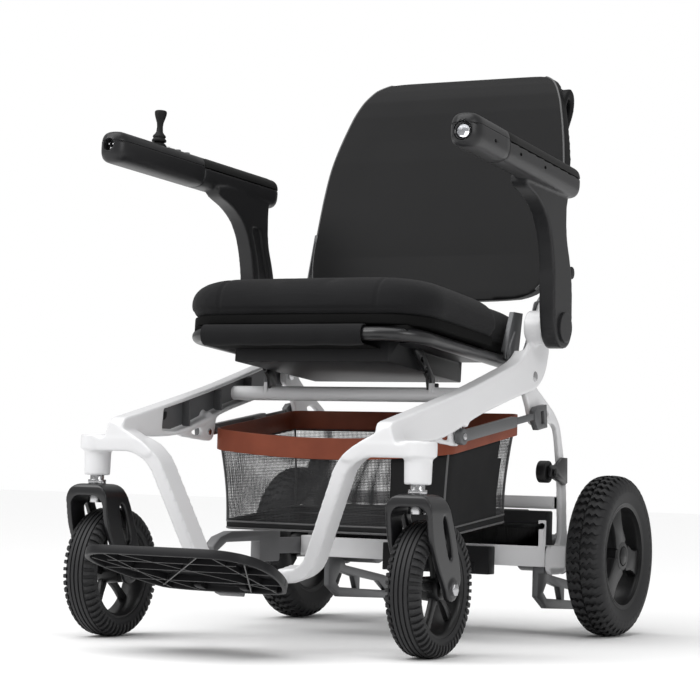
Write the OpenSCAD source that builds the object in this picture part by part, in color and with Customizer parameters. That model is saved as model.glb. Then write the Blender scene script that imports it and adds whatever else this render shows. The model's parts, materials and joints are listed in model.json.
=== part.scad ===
// Folding power wheelchair, occupant faces -Y, occupant's left is +X, floor at z = 0.
// Lengths are millimetres.

/* [Wheels] */
// Rear wheel outer radius
rear_r = 127; // [110:1:150]
// Rear tyre width
rear_w = 61; // [45:1:70]
// Half of the rear track, wheel centre to chair centre
rear_x = 281.5; // [260:0.5:300]
// Rear axle position behind the middle of the chair
rear_y = 340; // [300:1:360]
// Caster wheel outer radius
caster_r = 94; // [80:1:100]
// Caster tyre width
caster_w = 50; // [40:1:52]
// Half of the distance between the two caster swivel axes
steer_x = 259.4; // [245:0.1:275]
// Caster swivel axis position
steer_y = -309.5; // [-330:0.5:-290]
// Caster trail, swivel axis to wheel axle
trail = 43.2; // [30:0.1:60]

/* [Frame] */
// Outer face of the side beams
beam_x = 228; // [220:1:235]
// Depth of the side beam channel
beam_w = 25; // [20:1:30]
// Height of the fold hinge
hinge_z = 402; // [380:1:420]
// Fold hinge position behind the middle of the chair
hinge_y = 150; // [130:1:170]
// Width of the front leg band
band_w = 20; // [16:1:26]
// Depth of the front leg band
band_d = 38; // [28:1:44]

/* [Seat] */
// Half width of the cushion
seat_x = 215; // [190:1:220]
// Slope of the seat, degrees down to the rear
seat_tilt = 4.3; // [0:0.1:8]
// Seat tube outside diameter
tube_d = 20; // [16:1:25]

/* [Back] */
// Half width of the back shell
back_x = 217; // [190:1:218]
// Height of the top of the back shell
back_top = 910; // [800:5:950]
// Backrest pivot height
back_z = 510; // [495:1:525]

/* [Arms] */
// Arm pivot height
arm_z = 477; // [460:1:495]
// Arm pivot position
arm_y = 145; // [130:1:160]
// Arm tube width
arm_w = 46; // [36:1:54]
// Arm tube height
arm_h = 48; // [36:1:54]

/* [Footplate] */
// Hinge rod diameter
rod_d = 10; // [8:1:14]
// Footplate slope at rest, degrees
foot_tilt = 16.4; // [5:0.1:25]
// Footplate thickness
foot_t = 12; // [8:1:18]

/* [Hidden] */
$fn = 64;
gap = 0.05;
caster_y = steer_y + trail;
beam_in = beam_x - beam_w;
brace_a = 8.27;
ay = -90;
az = 304;
by = 192;
bz = 345;
rod_y = -322;
rod_z = 97;

// 2D shape is (y, z); the solid runs from x0 for w along x.
module yz(x0, w) {
  translate([x0, 0, 0]) rotate([90, 0, 90]) linear_extrude(w) children();
}

// 2D shape is (x, z); the solid runs from y0 for d along y.
module xz(y0, d) {
  translate([0, y0 + d, 0]) rotate([90, 0, 0]) linear_extrude(d) children();
}

// Cylinder along x from x0, length l, at (y, z).
module cx(x0, l, r, y, z) {
  translate([x0, y, z]) rotate([0, 90, 0]) cylinder(r = r, h = l);
}

// Cylinder along y from y0, length l, at (x, z).
module cy(y0, l, r, x, z) {
  translate([x, y0 + l, z]) rotate([90, 0, 0]) cylinder(r = r, h = l);
}

// Draws for the chosen side: s = 1 left, s = -1 right.
module side(s) {
  if (s > 0) children();
  else mirror([1, 0, 0]) children();
}

// ---- side frames ----
module beam_outline() {
  polygon([[-318, 293], [-318, 327], [-300, 329], [-177, 354], [-78, 375], [47, 408],
    [100, 424], [122, 440], [140, 464], [160, 503], [168, 524], [207, 524], [207, 440],
    [188, 402], [152, 379], [100, 372], [28, 354], [-42, 337], [-92, 322], [-141, 306],
    [-183, 296]]);
}

module side_frame(s) {
  color("white") side(s) difference() {
    union() {
      yz(beam_x - 8, 8) beam_outline();
      yz(beam_in, beam_w) intersection() {
        difference() {
          beam_outline();
          translate([0, -6]) beam_outline();
        }
        translate([-318, 280]) square([448, 250]);
      }
      yz(beam_in, beam_w) intersection() {
        difference() {
          beam_outline();
          translate([0, 6]) beam_outline();
        }
        translate([-260, 280]) square([350, 150]);
      }
      yz(beam_in, beam_w) difference() {
        intersection() {
          beam_outline();
          translate([-318, 280]) square([70, 60]);
        }
        translate([-300, 302]) square([60, 20]);
      }
      // Link bracket under the beam, with its window.
      yz(206, 6) difference() {
        polygon([[-173, 302], [-173, 296], [-104, 292], [-82, 292], [-76, 300], [-70, 330],
          [-100, 322], [-141, 309]]);
        polygon([[-150, 301], [-112, 297], [-112, 311], [-130, 306]]);
      }
      cx(206, 22, 9, ay, az + 22);
      // Arm pivot boss and back pivot boss.
      cx(beam_x - 8, 29.6, 26, arm_y, arm_z);
      cx(beam_x - 8, 8, 15, 190, back_z);
    }
    cx(190, 70, 8, arm_y, arm_z);
    cx(190, 60, 5, 190, back_z);
    cx(190, 60, 8, hinge_y, hinge_z);
    cx(200, 20, 5, ay, az);
  }
}

// ---- front legs ----
function arc(u, v, r, a0, a1, n) =
  [for (i = [0:n]) [u + r * cos(a0 + (a1 - a0) * i / n), v + r * sin(a0 + (a1 - a0) * i / n)]];

// Band outline: head, shoulder arc, sloping leg, toe arc, toe.
module leg_band() {
  h = band_w / 2;
  xz(0, band_d) polygon(concat([[259, 282 + h]], arc(201, 222, 60 + h, 90, 157.4, 10),
    arc(60, 143, 40 - h, -22.6, -90, 8), [[46, 103 + h], [46, 103 - h]],
    arc(60, 143, 40 + h, -90, -22.6, 8), arc(201, 222, 60 - h, 157.4, 90, 10),
    [[259, 282 - h]]));
}

module front_leg(s) {
  color("white") side(s) difference() {
    union() {
      translate([0, -314, 282]) rotate([8.5, 0, 0]) translate([0, -band_d / 2, -282]) leg_band();
      // Web where the beam runs into the shoulder of the leg.
      xz(-331, 34) polygon([[245, 290], [245, 326], [228, 329], [223, 317], [201, 304],
        [185, 296], [163, 283], [152, 273], [163, 265], [190, 284], [201, 290]]);
      translate([steer_x, steer_y, 271]) cylinder(r = 25, h = 22);
      translate([steer_x, steer_y, 234]) cylinder(r1 = 18.5, r2 = 19.5, h = 37.5);
      yz(44, 14) polygon([[-300, 95], [-322, 86], [-333, 97], [-322, 108], [-300, 110]]);
    }
    translate([steer_x, steer_y, 230]) cylinder(r = 15, h = 58);
    // The beam ends against the web.
    translate([beam_in - 0.2, -318, 292]) cube([beam_w + 0.4, 30, 50]);
    cx(40, 30, rod_d / 2, rod_y, rod_z);
  }
}

module head_bearings() {
  color("silver") for (s = [1, -1]) side(s) {
    for (z = [234.5, 280]) translate([steer_x, steer_y, z]) difference() {
      cylinder(r = 15, h = 6);
      translate([0, 0, -1]) cylinder(r = 10 + gap, h = 8);
    }
  }
}

module front_crossbar() {
  color("white") {
    cx(-beam_in, 2 * beam_in, 11, -25, 366);
    for (s = [1, -1]) side(s) difference() {
      yz(138, 6) polygon([[-36, 366], [-36, 383], [-14, 383], [-14, 366]]);
      cx(130, 20, 3, -25, 380.2);
    }
  }
}

module frame_pins() {
  color("silver") cx(-64, 128, rod_d / 2, rod_y, rod_z);
  color("dimgray") for (s = [1, -1]) side(s) {
    // Fold hinge pin, brace front pin, and back pivot bolt.
    cx(200, 21, 8, hinge_y, hinge_z);
    cx(221, 8, 8, hinge_y, hinge_z);
    cx(204, 22, 5, ay, az);
    cx(210, 20, 5, 190, back_z);
    // Arm pivot pin.
    cx(216, 56, 8, arm_y, arm_z);
  }
}

// ---- seat ----
module seat_frame_pose() {
  translate([0, 0, 431]) rotate([-seat_tilt, 0, 0]) children();
}

module seat_tube() {
  color("black") seat_frame_pose() {
    for (s = [1, -1]) side(s) {
      cy(-141, 291, tube_d / 2, 188, 0);
      translate([128, -141, 0]) rotate([0, 0, -90]) rotate_extrude(angle = 90)
        translate([60, 0]) circle(r = tube_d / 2);
    }
    cx(-128, 256, tube_d / 2, -201, 0);
  }
}

module seat_pan() {
  color("black") seat_frame_pose() difference() {
    union() {
      translate([-128, -150, -34]) cube([256, 250, 33]);
      translate([-178, -120, -5]) cube([356, 205, 5]);
    }
    translate([-125, -147, -31]) cube([250, 244, 26]);
  }
}

module seat_sling() {
  color("black") seat_frame_pose() {
    difference() {
      translate([-196, -206, 0]) cube([392, 350, 14]);
      translate([-178, -191, -1]) cube([356, 340, 7]);
      for (s = [1, -1]) side(s) {
        cy(-141, 300, tube_d / 2, 188, 0);
        translate([128, -141, 0]) rotate([0, 0, -90]) rotate_extrude(angle = 90)
          translate([60, 0]) circle(r = tube_d / 2);
      }
      cx(-128, 256, tube_d / 2, -201, 0);
      for (s = [1, -1]) side(s) translate([150, -230, -5]) cube([80, 60, 11]);
    }
  }
}

module seat_cushion() {
  color("black") seat_frame_pose() difference() {
    union() {
      yz(-205, 410) polygon([[-184, 14], [-190, 28], [62, 28], [62, 14]]);
      yz(-seat_x, 2 * seat_x) polygon([[-198, 26], [-209, 36], [-209, 52], [-200, 68],
        [-180, 79], [-150, 84], [20, 85], [60, 79], [62, 26]]);
      yz(-190, 380) polygon([[50, 14], [50, 79], [196, 72], [210, 58], [210, 14]]);
    }
    for (s = [1, -1]) side(s) {
      linear_extrude(90) polygon([[140, -230], [230, -230], [230, -140], [215, -140],
        [210, -165], [198, -186], [180, -201], [160, -208], [140, -210]]);
    }
  }
}

module seat_links() {
  color("black") for (s = [1, -1]) side(s) difference() {
    union() {
      yz(133, 5) polygon([[-32, 366], [-38, 390], [-80, 428], [-80, 434], [-56, 434],
        [-56, 430], [-14, 390], [-18, 366]]);
      cx(138, 10, 3, -25, 380.2);
    }
    cx(120, 40, 11, -25, 366);
    cx(120, 40, 5, -44, 402);
    cx(120, 40, 4, -60, 417);
    seat_frame_pose() translate([120, -150, -5]) cube([40, 250, 20]);
  }
}

module back_brackets() {
  color("gray") for (s = [1, -1]) side(s) difference() {
    // Plate from the side frame down to the seat tube, clear of the fold hinge.
    union() {
      yz(192, 8) polygon([[100, 426], [100, 440], [114, 470], [128, 500], [162, 500],
        [150, 440], [146, 425], [110, 424]]);
      yz(192, beam_in - 192) polygon([[104, 426], [112, 448], [128, 470], [136, 470], [126, 436],
        [110, 426]]);
    }
    seat_frame_pose() cy(-141, 292, tube_d / 2, 188, 0);
    seat_frame_pose() translate([-196, -206, 0]) cube([392, 350, 14]);
    seat_frame_pose() translate([-seat_x - 1, -220, 13]) cube([2 * seat_x + 2, 283, 60]);
  }
}

// ---- footplate ----
module footplate() {
  color("black") translate([0, rod_y, rod_z]) rotate([-foot_tilt, 0, 0]) difference() {
    union() {
      translate([0, 0, -17.5 - foot_t]) linear_extrude(foot_t) difference() {
        polygon([[-92, -37], [92, -37], [112, -70], [127, -112], [135, -150], [136, -172],
          [132, -195], [122, -213], [104, -226], [80, -231], [-80, -231], [-104, -226],
          [-122, -213], [-132, -195], [-136, -172], [-135, -150], [-127, -112], [-112, -70]]);
      }
      for (s = [1, -1]) side(s) yz(30, 12) polygon([[-8, -8], [-60, -20], [-60, -28],
        [-37, -28], [3, -9], [9, 0], [5, 8], [-5, 8]]);
      translate([-20, -37.5, -29.5]) cube([40, 14, 6]);
    }
    translate([0, 0, -18.5 - foot_t]) linear_extrude(foot_t - 3) difference() {
      polygon([[-88, -43], [88, -43], [107, -73], [121, -114], [129, -150], [130, -170],
        [126, -192], [118, -208], [102, -220], [79, -225], [-79, -225], [-102, -220],
        [-118, -208], [-126, -192], [-130, -170], [-129, -150], [-121, -114], [-107, -73]]);
      for (x = [-84, -40, 40, 84]) translate([x - 1.5, -240]) square([3, 210]);
      for (y = [-190, -140, -90]) translate([-140, y - 1.5]) square([280, 3]);
      translate([-46, -62]) square([92, 30]);
    }
    cx(-60, 120, rod_d / 2 + gap, 0, 0);
  }
}

// ---- braces and basket ----
module brace_pose() {
  translate([0, ay, az]) rotate([brace_a, 0, 0]) children();
}

module brace_rails() {
  color("dimgray") for (s = [1, -1]) side(s) brace_pose() difference() {
    union() {
      translate([214, -14, -8]) cube([10, 201, 16]);
      cx(214, 10, 12, 0, 0);
      for (y = [34, 150]) cx(201.5, 14, 4, y, 0);
    }
    cx(210, 20, 5, 0, 0);
    translate([216.5, 16, -5.5]) cube([5, 180, 11]);
  }
}

module brace_slides() {
  color("dimgray") for (s = [1, -1]) side(s) brace_pose() difference() {
    union() {
      translate([216.9, 95, -5.1]) cube([4.2, 176, 10.2]);
      yz(214.2, 9.6) polygon([[256, -8], [256, 8], [266, 14], [302, 14], [302, -22], [266, -22]]);
    }
    // Slot that lets the rear pin rise and fall as the frame folds.
    yz(210, 20) translate([278.6, -14.2]) square([12.8, 20]);
  }
}

module basket_band() {
  color("saddlebrown") difference() {
    translate([-201.5, -87, 290]) rotate([brace_a, 0, 0]) translate([0, 0, -17])
      cube([403, 250, 34]);
    translate([-199, -87, 290]) rotate([brace_a, 0, 0]) translate([0, 2.5, -20])
      cube([398, 245, 40]);
  }
}

module basket_bag() {
  color("dimgray") difference() {
    intersection() {
      yz(-199, 398) polygon([[-84, 272], [157, 307], [142, 178], [-66, 158]]);
      xz(-100, 300) polygon([[-176, 155], [176, 155], [199, 268], [199, 330], [-199, 330],
        [-199, 268]]);
    }
    intersection() {
      yz(-199, 398) polygon([[-64, 160.2], [140, 180.2], [157.7, 330], [-91.2, 330]]);
      xz(-100, 300) polygon([[-174, 157], [174, 157], [197, 268], [197, 340], [-197, 340],
        [-197, 268]]);
    }
  }
}

// ---- rear frame ----
module upright(s) {
  color("white") side(s) difference() {
    union() {
      yz(202.4, 9.6) difference() {
        polygon([[134, 390], [138, 414], [150, 420], [166, 414], [191, 386], [235, 367],
          [268, 351], [292, 331], [306, 290], [322, 245], [330, 155], [352, 142], [360, 127],
          [352, 110], [320, 96], [262, 96], [262, 141], [300, 141], [306, 155], [300, 245],
          [280, 325], [262, 336], [214, 330], [192, 327], [176, 336], [172, 352], [148, 384]]);
        polygon([[206, 352], [228, 356], [252, 345], [222, 342]]);
      }
      cx(202.4, 9.6, 17, hinge_y, hinge_z);
      cx(202.4, 9.6, 17, by, bz);
      cx(212, 14, 5, by, bz);
      translate([212, 262, 107]) cube([26, 38, 34]);
    }
    cx(190, 40, 8 + gap, hinge_y, hinge_z);
    cx(190, 40, 12, rear_y, rear_r);
  }
}

module rear_crossbeams() {
  color("white") {
    difference() {
      union() {
        difference() {
          translate([-202.4, 262, 107]) cube([404.8, 38, 34]);
          translate([-203, 265, 110]) cube([406, 32, 28]);
        }
        for (s = [1, -1]) side(s) {
          translate([92, 262, 140.5]) cube([30, 6, 29]);
          translate([190, 262, 140.5]) cube([12, 6, 40]);
        }
      }
      for (s = [1, -1]) side(s) cy(255, 20, 4.25, 196, 172);
    }
    difference() {
      translate([-202.4, 296, 198]) cube([404.8, 16, 20]);
      translate([-203, 298, 200]) cube([406, 12, 16]);
    }
  }
}

module battery_pack() {
  color("black") {
    translate([-200, 268, 141]) cube([400, 31, 54]);
    translate([-125, 298, 141]) cube([250, 80, 54]);
    difference() {
      translate([-60, 370, 150]) cube([120, 34, 14]);
      translate([-46, 378, 148]) cube([92, 16, 20]);
    }
  }
}

module controller_box() {
  color("black") {
    translate([-72, 238, 92]) cube([189, 24, 44]);
    for (x = [-50, -10, 30, 70]) translate([x, 230, 96]) cube([22, 9, 14]);
  }
}

module motor(s) {
  color("dimgray") side(s) difference() {
    union() {
      cx(130, 60, 30, rear_y, rear_r);
      cx(190, 12.4, 33, rear_y, rear_r);
      cx(126, 5, 22, rear_y, rear_r);
      translate([150, 300, 112]) cube([24, 20, 20]);
    }
    cx(188, 20, 10 + gap, rear_y, rear_r);
    translate([158, rear_y - 2, rear_r]) cylinder(r = 4 + gap, h = 60);
  }
}

module motor_lever(s) {
  color("orangered") side(s) translate([158, rear_y - 2, 0]) {
    translate([0, 0, 146]) cylinder(r = 4, h = 20);
    translate([-7, -6, 160]) cube([14, 46, 6]);
  }
}

module anti_tip_arms() {
  color("dimgray") for (s = [1, -1]) side(s) difference() {
    union() {
      yz(182, 10) polygon([[262, 107], [262, 60], [300, 40], [500, 30], [525, 30], [540, 45],
        [525, 60], [460, 72], [320, 92], [308, 107]]);
      translate([182, 262, 97]) cube([20, 38, 10]);
    }
    yz(180, 14) polygon([[286, 66], [300, 56], [360, 52], [350, 72], [300, 82]]);
    yz(180, 14) polygon([[372, 51], [470, 45], [440, 62], [372, 71]]);
    cx(170, 40, 4 + gap, 525, 45);
  }
}

module anti_tip_wheel(s) {
  color("black") side(s) {
    cx(193, 12, 27, 525, 45);
    cx(180, 14, 4, 525, 45);
    cx(176, 4.5, 8, 525, 45);
  }
}

module roller_arms() {
  color("black") for (s = [1, -1]) side(s) difference() {
    union() {
      yz(212, 6) polygon([[292, 280], [310, 280], [312, 240], [300, 236], [262, 246], [252, 252],
        [252, 264], [266, 268]]);
      cx(212, 6, 11, 256, 257);
    }
    cx(205, 20, 3 + gap, 256, 257);
  }
}

module roller(s) {
  color("dimgray") side(s) {
    cx(193.5, 16, 17.5, 256, 257);
    cx(209, 12, 3, 256, 257);
    cx(219, 3, 6, 256, 257);
  }
}

// ---- wheels ----
module tyre(r, w, rin) {
  rotate([0, 90, 0]) rotate_extrude($fn = 96) polygon([[rin, -w / 2 + 5], [rin + 6, -w / 2 + 1],
    [r - 17, -w / 2], [r - 6, -w / 2 + 6], [r, -w / 5], [r, w / 5], [r - 6, w / 2 - 6],
    [r - 17, w / 2], [rin + 6, w / 2 - 1], [rin, w / 2 - 5]]);
}

module wheel_rim(rin, w, face, hub, n, spoke) {
  difference() {
    union() {
      rotate([0, 90, 0]) rotate_extrude($fn = 96) polygon([[rin, -w / 2 + 5], [rin, w / 2 - 5],
        [rin - 2, face], [rin - 8, face], [rin - 8, -w / 2 + 5]]);
      for (i = [0:n - 1]) rotate([i * 360 / n + 90, 0, 0]) translate([face - 14, -spoke / 2, 0])
        cube([12, spoke, rin - 5]);
      cx(-w / 2 + 5, face + w / 2 - 5, hub, 0, 0);
    }
  }
}

module rear_tyre(s) {
  color("#222222") side(s) translate([rear_x, rear_y, rear_r]) tyre(rear_r, rear_w, 84);
}

module rear_rim(s) {
  color("#333333") side(s) {
    translate([rear_x, rear_y, rear_r]) wheel_rim(84, rear_w, 25, 26, 3, 30);
    cx(188.5, 70, 10, rear_y, rear_r);
  }
}

// The right caster rests slightly turned, the left one straight.
module caster_tyre(s) {
  color("#222222") side(s) translate([steer_x, caster_y, caster_r]) tyre(caster_r, caster_w, 67);
}

module caster_rim(s) {
  color("#333333") side(s) translate([steer_x, caster_y, caster_r]) difference() {
    wheel_rim(67, caster_w, 19.6, 18, 5, 14);
    cx(-40, 80, 6 + gap, 0, 0);
  }
}

module fork(s) {
  color("black") side(s) difference() {
    union() {
      for (x = [27, -35]) yz(steer_x + x, 8) difference() {
        union() {
          polygon([[-334, 214], [-326, 153], [-288, 99], [-250, 97], [-240, 110], [-266, 178],
            [-286, 214]]);
          translate([caster_y, caster_r]) circle(r = 16);
        }
        polygon([[-298, 187], [-290, 190], [-270, 136], [-279, 134]]);
      }
      translate([steer_x - 35, -334, 206]) cube([70, 50, 16]);
      cx(steer_x - 39, 78, 6, caster_y, caster_r);
      for (x = [35, -41]) cx(steer_x + x, 6, 9, caster_y, caster_r);
    }
    translate([steer_x, steer_y, 200]) cylinder(r = 8, h = 30);
  }
}

module caster_stem(s) {
  color("silver") side(s) translate([steer_x, steer_y, 0]) {
    translate([0, 0, 200]) cylinder(r = 8, h = 23);
    translate([0, 0, 222]) cylinder(r = 10, h = 64);
    translate([0, 0, 195]) cylinder(r = 12, h = 11);
    translate([0, 0, 222]) cylinder(r = 13, h = 6);
  }
}

// ---- back ----
module back_shell() {
  color("black") difference() {
    union() {
      intersection() {
        yz(-back_x, 2 * back_x) polygon([[212, 524], [221, 552], [287, 765], [300, 800],
          [318, 845], [332, 872], [348, 893], [364, 905], [380, back_top], [384, 901], [372, 892],
          [358, 877], [346, 856], [327, 800], [314, 757], [249, 545], [240, 524]]);
        xz(200, 200) polygon([[-150, 524], [-190, 534], [-209, 556], [-back_x, 596],
          [-back_x, 740], [-205, 785], [-192, 845], [-180, 878], [-165, 899], [-146, 907],
          [-120, back_top], [120, back_top], [146, 907], [165, 899], [180, 878], [192, 845],
          [205, 785], [back_x, 740], [back_x, 596], [209, 556], [190, 534], [150, 524]]);
      }
      for (s = [1, -1]) side(s) yz(176, 12) difference() {
        polygon([[322, 800], [318, 756], [330, 772], [356, 815], [376, 845], [376, 876],
          [362, 880], [344, 868]]);
        polygon([[334, 800], [334, 790], [346, 812], [364, 846], [364, 862], [350, 862],
          [344, 848]]);
      }
    }
  }
}

module back_straps() {
  color("gray") for (s = [1, -1]) side(s) difference() {
    union() {
      cx(213.5, 6, 14, 190, back_z);
      yz(213.5, 6) polygon([[180, 520], [201, 500], [232, 545], [262, 640], [248, 640], [222, 552],
        [212, 545]]);
    }
    cx(200, 30, 5 + gap, 190, back_z);
    yz(210, 7) polygon([[221, 545], [221.1, 552], [250, 646], [290, 646], [270, 545]]);
  }
}

module back_knob() {
  color("black") {
    cx(219.8, 8, 4, 262, 571);
    cx(225, 14, 10, 262, 571);
  }
}

// ---- arms ----
module arm_pose() {
  translate([267, 157, 700]) rotate([-3.14, 0, 3.14]) children();
}

module arm_plan() {
  circle(r = arm_w / 2);
  translate([-arm_w * 0.497, -401]) square([arm_w * 0.994, 401]);
  translate([0, -401]) circle(r = arm_w / 2);
}

// Arm tube solid between two heights, cut to the span y0..y1.
module arm_tube(z0, z1, y0, y1) {
  intersection() {
    translate([0, 0, z0]) linear_extrude(z1 - z0) arm_plan();
    translate([-40, y0, -60]) cube([80, y1 - y0, 120]);
  }
}

module arm_body(s, y0) {
  color("black") side(s) difference() {
    union() {
      arm_pose() arm_tube(-arm_h / 2, 6, y0, 40);
      yz(250, 26) polygon([[114, 470], [105, 530], [105, 560], [92, 600], [62, 660], [52, 685],
        [140, 685], [140, 660], [151, 600], [172, 560], [172, 530], [176, 470]]);
      cx(250, 26, 32, arm_y, arm_z);
      cx(276, 4, 24, arm_y, arm_z);
    }
    cx(240, 26 + 6, 8 + gap, arm_y, arm_z);
    yz(240, 14) polygon([[122, 520], [122, 560], [110, 600], [84, 656], [126, 656], [136, 600],
      [154, 560], [154, 520]]);
    arm_pose() translate([0, 0, 6]) linear_extrude(60) translate([-40, -440]) square([80, 500]);
  }
}

module arm_pad(s, y0) {
  color("#1a1a1a") side(s) arm_pose() difference() {
    arm_tube(6.05, arm_h / 2, y0, 40);
    for (x = [-8, 0, 8]) translate([x - 1, y0 + 14, arm_h / 2 - 1.5]) cube([2, -y0 - 20, 5]);
  }
}

module arm_cap_left() {
  color("black") side(1) arm_pose() difference() {
    arm_tube(-arm_h / 2, arm_h / 2, -440, -297.1);
    cy(-440, 30, 14, 0, 2);
  }
}

module lens_left() {
  color("lightgray") side(1) arm_pose() {
    cy(-422, 12, 14, 0, 2);
  }
}

module control_module() {
  color("black") side(-1) arm_pose() difference() {
    union() {
      arm_tube(-arm_h / 2, arm_h / 2 + 1, -440, -202.1);
    }
    // Pocket of the joystick, its gimbal bearings, the button wells and the charging socket.
    translate([0, -297, -3]) cylinder(r = 16, h = 40);
    cx(-20, 40, 2 + gap, -297, 15);
    for (y = [-246, -222]) translate([0, y, 14]) cylinder(r = 4.5 + gap, h = 20);
    translate([0, -297, 21]) cylinder(r1 = 16, r2 = 20, h = 5);
    cy(-440, 30.5, 9.5, 0, 2);
  }
}

module joystick_gimbal() {
  color("silver") side(-1) arm_pose() translate([0, -297, 15]) difference() {
    union() {
      translate([0, 0, -3]) cylinder(r = 11, h = 6);
      cx(-19, 9, 2, 0, 0);
      cx(10, 9, 2, 0, 0);
    }
    translate([0, 0, -4]) cylinder(r = 7, h = 8);
    cy(-12, 24, 2 + gap, 0, 0);
  }
}

module joystick_stick() {
  color("black") side(-1) arm_pose() translate([0, -297, 15]) {
    translate([0, 0, -4]) cylinder(r = 4.5, h = 53);
    cy(-10.5, 21, 2, 0, 0);
    difference() {
      intersection() {
        sphere(r = 15);
        translate([-20, -20, 8.5]) cube([40, 40, 20]);
      }
      sphere(r = 12);
    }
    translate([0, 0, 15]) cylinder(r1 = 11.3, r2 = 8, h = 6);
    translate([0, 0, 21]) cylinder(r1 = 11, r2 = 7, h = 6);
    translate([0, 0, 40]) cylinder(r1 = 5, r2 = 9, h = 20);
    translate([0, 0, 60]) cylinder(r1 = 9, r2 = 8, h = 3);
  }
}

module button(y) {
  color("gray") side(-1) arm_pose() translate([0, y, 17]) cylinder(r = 4.5, h = 10);
}

module carry_handle() {
  color("gray") side(-1) {
    yz(238, 9) polygon([[300, 110], [300, 138], [180, 138], [180, 112]]);
    yz(231, 19) polygon([[118, 100], [182, 100], [182, 150], [118, 150]]);
    yz(231, 19) polygon([[120, 150], [30, 150], [-5, 142], [-25, 128], [-25, 116], [-8, 122],
      [14, 133], [120, 134]]);
  }
}

side_frame(1);  // side_frame_left
side_frame(-1);  // side_frame_right
front_leg(1);  // front_leg_left
front_leg(-1);  // front_leg_right
front_crossbar();
seat_tube();
seat_pan();
seat_sling();
seat_cushion();
seat_links();
head_bearings();
back_brackets();
brace_rails();
basket_band();
basket_bag();
frame_pins();
brace_slides();
footplate();
upright(1);  // upright_left
upright(-1);  // upright_right
rear_crossbeams();
battery_pack();
controller_box();
motor(1);  // motor_left
motor(-1);  // motor_right
motor_lever(1);  // motor_lever_left
motor_lever(-1);  // motor_lever_right
anti_tip_arms();
anti_tip_wheel(1);  // anti_tip_wheel_left
anti_tip_wheel(-1);  // anti_tip_wheel_right
roller_arms();
roller(1);  // roller_left
roller(-1);  // roller_right
rear_tyre(1);  // rear_tyre_left
rear_tyre(-1);  // rear_tyre_right
rear_rim(1);  // rear_rim_left
rear_rim(-1);  // rear_rim_right
fork(1);  // fork_left
fork(-1);  // fork_right
caster_stem(1);  // caster_stem_left
caster_stem(-1);  // caster_stem_right
caster_tyre(1);  // caster_tyre_left
caster_tyre(-1);  // caster_tyre_right
caster_rim(1);  // caster_rim_left
caster_rim(-1);  // caster_rim_right
back_shell();
back_straps();
back_knob();
arm_body(1, -297);  // arm_left
arm_pad(1, -297);  // arm_pad_left
arm_cap_left();
lens_left();
arm_body(-1, -202);  // arm_right
arm_pad(-1, -202);  // arm_pad_right
control_module();
joystick_gimbal();
joystick_stick();
button(-246);  // power_button
button(-222);  // speed_button
carry_handle();
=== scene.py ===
import json
from math import copysign, cos, dist, pi, radians, sin, sqrt
import bpy
import bmesh
from mathutils import Matrix, Vector, noise


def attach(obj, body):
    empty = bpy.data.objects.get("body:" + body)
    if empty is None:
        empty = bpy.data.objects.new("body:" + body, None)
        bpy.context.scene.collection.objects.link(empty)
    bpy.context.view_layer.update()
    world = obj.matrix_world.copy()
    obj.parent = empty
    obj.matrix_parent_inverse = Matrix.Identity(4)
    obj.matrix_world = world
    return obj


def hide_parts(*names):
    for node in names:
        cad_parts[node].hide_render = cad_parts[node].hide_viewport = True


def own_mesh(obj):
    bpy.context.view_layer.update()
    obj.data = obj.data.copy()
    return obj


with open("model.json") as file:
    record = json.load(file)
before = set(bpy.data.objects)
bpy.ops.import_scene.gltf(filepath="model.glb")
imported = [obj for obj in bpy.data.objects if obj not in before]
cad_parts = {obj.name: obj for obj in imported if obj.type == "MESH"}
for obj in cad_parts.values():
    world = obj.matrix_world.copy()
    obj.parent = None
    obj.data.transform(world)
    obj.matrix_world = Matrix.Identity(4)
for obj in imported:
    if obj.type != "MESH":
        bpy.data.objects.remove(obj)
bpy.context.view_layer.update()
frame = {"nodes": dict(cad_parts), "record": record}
print("frame loaded")

# camera
cameraSetup = {"place": (1.6244, -3.0708, 0.2554), "yaw": 0.4903, "pitch": 0.0513, "roll": 0.0274,
    "lens": 117.58}


def makeCamera(c):
    a, p, r = c["yaw"], c["pitch"], c["roll"]
    ahead = Vector((-sin(a) * cos(p), cos(a) * cos(p), sin(p)))
    right = Vector((cos(a), sin(a), 0))
    up = right.cross(ahead)
    right2 = cos(r) * right + sin(r) * up
    up2 = -sin(r) * right + cos(r) * up
    data = bpy.data.cameras.new("camera")
    data.lens = c["lens"]
    data.sensor_width = 36
    cam = bpy.data.objects.new("camera", data)
    bpy.context.scene.collection.objects.link(cam)
    turn = Matrix((right2, up2, -ahead)).transposed()
    cam.matrix_world = Matrix.Translation(c["place"]) @ turn.to_4x4()
    bpy.context.scene.camera = cam


makeCamera(cameraSetup)

# mesh helpers, lengths in millimetres


def newObject(name, mesh):
    o = bpy.data.objects.new(name, mesh)
    bpy.context.scene.collection.objects.link(o)
    return o


def solid(name, verts, faces, merge=True):
    mesh = bpy.data.meshes.new(name)
    mesh.from_pydata([(v[0] * 0.001, v[1] * 0.001, v[2] * 0.001) for v in verts], [], faces)
    bm = bmesh.new()
    bm.from_mesh(mesh)
    if merge:
        bmesh.ops.remove_doubles(bm, verts=bm.verts, dist=1e-6)
        bmesh.ops.dissolve_degenerate(bm, edges=bm.edges, dist=1e-7)
    bmesh.ops.recalc_face_normals(bm, faces=bm.faces)
    bm.to_mesh(mesh)
    bm.free()
    return newObject(name, mesh)


def modify(o, kind, **settings):
    m = o.modifiers.new(kind.lower(), kind)
    for key, value in settings.items():
        setattr(m, key, value)
    return m


def smoothFaces(o):
    for p in o.data.polygons:
        p.use_smooth = True
    return o


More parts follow.
